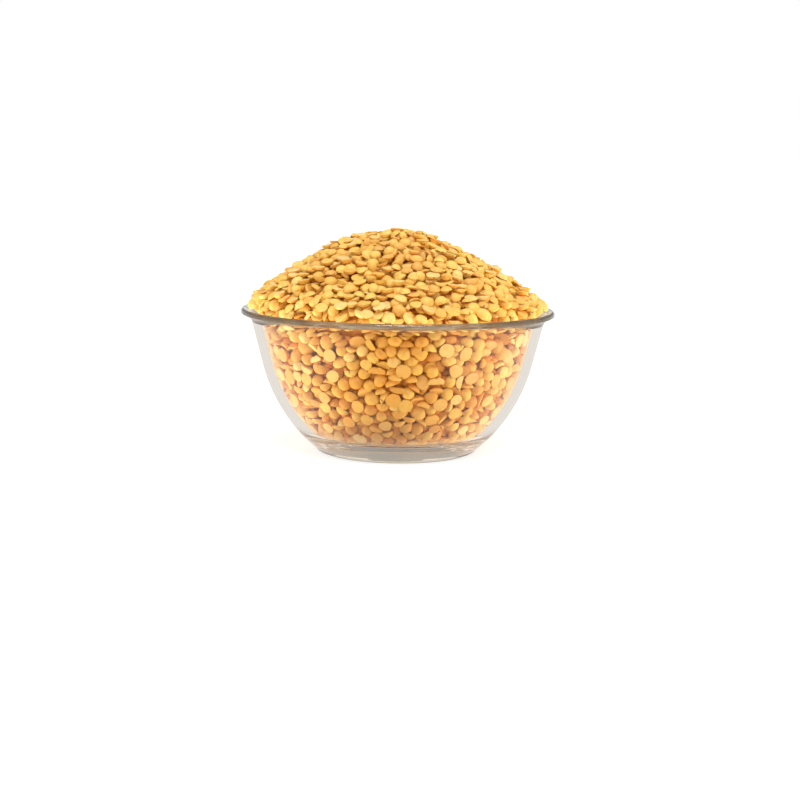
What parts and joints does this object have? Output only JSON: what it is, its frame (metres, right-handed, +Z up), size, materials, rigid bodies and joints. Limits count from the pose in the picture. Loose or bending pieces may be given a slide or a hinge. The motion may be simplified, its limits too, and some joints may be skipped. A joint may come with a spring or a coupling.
{
  "type": "dish of toor dal",
  "caption": "Clear glass bowl with a flared round lip, heaped well above its rim with dry split pigeon peas (toor dal); a table or pantry food prop.",
  "frame": {"origin": "centre of the bowl's underside, on the surface it stands on", "axes": "+Z up along the bowl's turning axis, -Y towards the viewer of the picture, +X to that viewer's right"},
  "size_m": [0.14, 0.14, 0.1006],
  "materials": {
    "glass": "clear polished pressed glass with a faint grey-green tint at its edges",
    "dal": "dry matt golden yellow split peas with paler flat faces"
  },
  "bodies": {
    "root": {"bowl": "glass", "dal_heap": "dal"}
  },
  "joints": []
}
